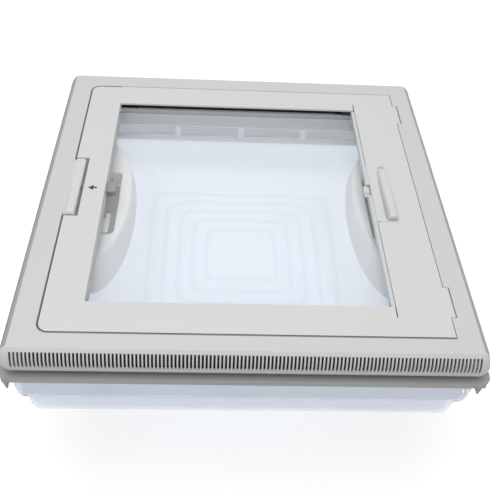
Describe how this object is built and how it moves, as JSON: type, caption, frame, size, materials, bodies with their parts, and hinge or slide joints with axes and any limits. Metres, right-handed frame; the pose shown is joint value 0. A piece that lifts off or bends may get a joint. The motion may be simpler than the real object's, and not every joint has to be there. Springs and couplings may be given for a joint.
{
  "type": "rv skylight",
  "caption": "Square caravan rooflight with slotted ceiling trim, hinged insect-screen frame with blind, roof flange and a lifting double-skin dome.",
  "frame": {"origin": "centre of the dome's outer face, on which the part stands here, under the middle of the square trim", "axes": "+Z out of the cabin face, so it points down into the cabin once fitted; +X towards the hinges of the screen frame; +Y towards the edge where the lifting arms are pivoted to the flange"},
  "size_m": [0.509, 0.503, 0.1375],
  "materials": {
    "trim": "fine-grained matt light grey ABS",
    "screen": "fine-grained matt light grey ABS",
    "flange": "matt mid grey ASA",
    "acrylic_outer": "glossy milky acrylic, faintly blue",
    "acrylic_inner": "glossy milky acrylic, faintly blue",
    "grip": "matt warm off-white",
    "lever": "matt grey",
    "seal": "soft black EPDM",
    "mesh": "grey woven glass-fibre mesh",
    "net": "fine grey insect netting",
    "steel": "zinc-plated steel",
    "arm": "mill-finish aluminium",
    "tube": "mill-finish aluminium",
    "bar": "satin white",
    "slide": "white acetal",
    "blind": "light grey coated blackout cloth"
  },
  "bodies": {
    "frame": {"ceiling_trim": "trim", "grille_front": "trim", "grille_back": "trim", "grille_left": "trim", "grille_right": "trim", "roof_flange": "flange", "vent_mesh": "mesh", "dome_seal": "seal", "trim_screws": "steel", "hinge_pins": "steel", "rear_arm_brackets": "steel", "rear_arm_pins": "steel", "latch_spring": "steel"},
    "lift_arms": {"arm_left": "arm", "arm_right": "arm"},
    "dome": {"dome_outer": "acrylic_outer", "dome_inner": "acrylic_inner", "side_grip_left": "grip", "side_grip_right": "grip", "grip_screws": "steel", "front_arm_brackets": "steel", "front_arm_pins": "steel", "lever_pins": "steel", "lever_springs": "steel"},
    "lever_left": {"grip_lever_left": "lever"},
    "lever_right": {"grip_lever_right": "lever"},
    "screen": {"screen_frame": "screen", "insect_net": "net", "net_spline": "seal", "cassette_cover_front": "screen", "cassette_cover_back": "screen", "roller_bracket_front": "slide", "roller_bracket_back": "slide", "bar_keeper": "slide", "blind_fabric": "blind"},
    "roller": {"roller_tube": "tube", "roller_cap_front": "slide", "roller_cap_back": "slide", "roller_spring": "steel", "blind_roll": "blind"},
    "blind_bar": {"pull_bar": "bar", "bar_shoe_front": "slide", "bar_shoe_back": "slide", "bar_catch": "bar", "blind_handle": "screen"},
    "latch": {"latch_handle": "trim"}
  },
  "joints": [
    {"name": "arm_swing", "type": "hinge", "parent": "frame", "child": "lift_arms", "pos_m": [0, 0.222, 0.07], "axis": [1, 0, 0], "range_deg": [0, 18]},
    {"name": "dome_tilt", "type": "hinge", "parent": "lift_arms", "child": "dome", "pos_m": [0, -0.222, 0.07], "axis": [-1, 0, 0], "range_deg": [0, 18]},
    {"name": "lever_right_turn", "type": "hinge", "parent": "dome", "child": "lever_right", "pos_m": [0.175, 0, 0.08], "axis": [0, -1, 0], "range_deg": [0, 16], "stiffness_Nm_per_rad": 0.3, "springref_deg": -8.59},
    {"name": "lever_left_turn", "type": "hinge", "parent": "dome", "child": "lever_left", "pos_m": [-0.175, 0, 0.08], "axis": [0, 1, 0], "range_deg": [0, 16], "stiffness_Nm_per_rad": 0.3, "springref_deg": -8.59},
    {"name": "screen_swing", "type": "hinge", "parent": "frame", "child": "screen", "pos_m": [0.2182, 0, 0.1276], "axis": [0, 1, 0], "range_deg": [0, 95]},
    {"name": "blind_pull", "type": "slide", "parent": "screen", "child": "blind_bar", "axis": [-1, 0, 0], "range_m": [0, 0.3125], "stiffness_N_per_m": 12, "springref_m": -0.15, "deforming": ["blind_fabric"]},
    {"name": "roller_spin", "type": "hinge", "parent": "screen", "child": "roller", "pos_m": [0.198, 0, 0.1185], "axis": [0, -1, 0], "range_deg": [0, 2520]},
    {"name": "latch_slide", "type": "slide", "parent": "frame", "child": "latch", "axis": [-1, 0, 0], "range_m": [0, 0.005], "stiffness_N_per_m": 600, "springref_m": -0.003, "deforming": ["latch_spring"]}
  ],
  "couplings": [
    {"joint": "roller_spin", "follows": "blind_pull", "rad_per_m": 138.89}
  ]
}
